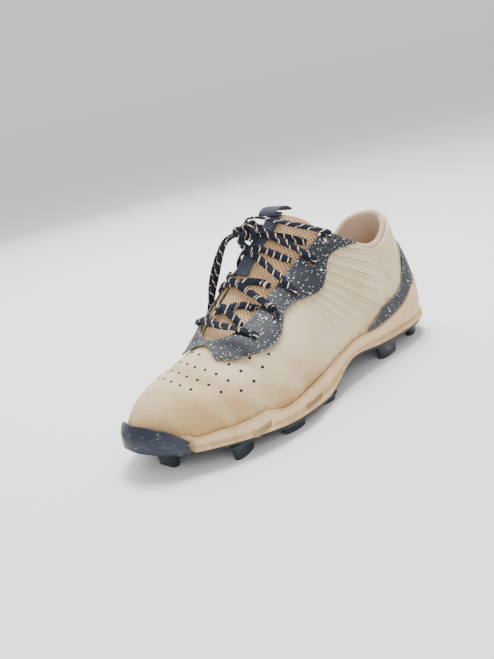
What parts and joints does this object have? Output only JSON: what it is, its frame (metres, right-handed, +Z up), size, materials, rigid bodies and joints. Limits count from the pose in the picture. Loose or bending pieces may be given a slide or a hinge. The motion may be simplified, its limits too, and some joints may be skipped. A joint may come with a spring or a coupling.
{
  "type": "baseball cleat",
  "caption": "Low laced field shoe for the left foot with a moulded studded outsole, wavy foam sidewall, rubber toe bumper, speckled eyestay, padded collar and mesh tongue.",
  "frame": {"origin": "on the floor under the middle of the shoe's box, without the lace's knot and ends", "axes": "+Y along the shoe's length towards the heel, +X towards the outer (lateral) side, +Z up"},
  "size_m": [0.1036, 0.292, 0.1336],
  "materials": {
    "synthetic_leather": "matte",
    "moulded_foam": "matte",
    "dark_rubber": "matte",
    "bumper_rubber": "satin",
    "speckled_overlay": "matte",
    "collar_knit": "matte",
    "tongue_mesh": "matte",
    "liner_cloth": "matte",
    "woven_lace": "matte",
    "grey_webbing": "matte",
    "aglet_plastic": "satin"
  },
  "bodies": {
    "root": {"upper": "synthetic_leather", "midsole": "moulded_foam", "outsole": "dark_rubber", "toe_bumper": "bumper_rubber", "eyestay": "speckled_overlay", "heel_counter": "speckled_overlay", "collar_lining": "collar_knit", "tongue": "tongue_mesh", "insole": "liner_cloth", "tongue_webbing": "grey_webbing", "lace_bar": "woven_lace", "lace_cross_1": "woven_lace", "lace_cross_2": "woven_lace", "lace_cross_3": "woven_lace", "lace_cross_4": "woven_lace", "lace_top": "woven_lace", "lace_knot": "woven_lace", "lace_end_outer": "woven_lace", "lace_end_inner": "woven_lace", "aglet_outer": "aglet_plastic", "aglet_inner": "aglet_plastic"}
  },
  "joints": []
}
